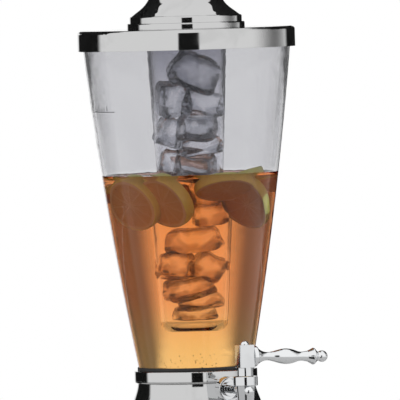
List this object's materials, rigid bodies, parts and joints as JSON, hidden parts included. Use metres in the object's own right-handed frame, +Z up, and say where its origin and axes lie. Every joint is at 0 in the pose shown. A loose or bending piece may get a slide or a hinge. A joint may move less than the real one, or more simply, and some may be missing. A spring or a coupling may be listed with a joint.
{
  "type": "footed drink dispenser with ice tube",
  "caption": "Footed drink dispenser: clear tapered tank on a flared pedestal, lid with hanging ice tube under a bell dome, and a plug tap with a turned lever.",
  "frame": {"origin": "middle of the foot's resting face, on the tank's axis", "axes": "+Z up along the tank's axis, front -Y, +X to the right; the tap stands 20 degrees to the right of the front"},
  "size_m": [0.2439, 0.261, 0.6025],
  "materials": {
    "chrome_finish": "polished",
    "steel": "plain",
    "brass": "machined",
    "black_rubber": "matt",
    "clear_silicone": "satin",
    "clear_plastic": "clear, slightly grey",
    "white_plastic": "satin"
  },
  "bodies": {
    "stand": {"pedestal": "chrome_finish", "base_plate": "steel", "base_plate_screws": "steel", "base_plate_nuts": "steel", "foot_pad": "black_rubber", "base_collar": "chrome_finish", "tank": "clear_plastic", "tank_seat": "black_rubber", "collar_gasket": "black_rubber", "tap_block": "chrome_finish", "tap_shank": "brass", "shank_outer_washer": "black_rubber", "shank_inner_washer": "black_rubber", "shank_backing_washer": "steel", "shank_lock_nut": "brass", "union_nut": "chrome_finish", "tap_body": "chrome_finish", "clean_out_screw": "chrome_finish", "bonnet_nut": "chrome_finish", "stem_packing": "black_rubber", "spout": "chrome_finish", "spout_gasket": "black_rubber"},
    "lid_cover": {"lid": "chrome_finish", "lid_gasket": "clear_silicone", "lid_neck_ring": "white_plastic", "tube_gasket": "clear_silicone"},
    "ice_holder": {"ice_tube": "clear_plastic"},
    "dome_cover": {"dome_base_ring": "chrome_finish", "dome_seal": "black_rubber", "dome": "chrome_finish", "finial_washer": "black_rubber", "finial": "chrome_finish", "finial_screw": "steel"},
    "tap_lever": {"valve_plug": "brass", "plug_o_rings": "black_rubber", "lever_hub": "chrome_finish", "lever_handle": "chrome_finish", "lever_stud": "steel", "hub_cap": "chrome_finish"}
  },
  "joints": [
    {"name": "lever_turn", "type": "hinge", "parent": "stand", "child": "tap_lever", "pos_m": [0.0497, -0.13654, 0.137], "axis": [0, 0, 1], "range_deg": [-90, 0]},
    {"name": "lid_lift", "type": "slide", "parent": "stand", "child": "lid_cover", "axis": [0, 0, 1], "range_m": [0, 0.32]},
    {"name": "ice_tube_lift", "type": "slide", "parent": "lid_cover", "child": "ice_holder", "axis": [0, 0, 1], "range_m": [0, 0.33]},
    {"name": "dome_lift", "type": "slide", "parent": "ice_holder", "child": "dome_cover", "axis": [0, 0, 1], "range_m": [0, 0.08]}
  ]
}
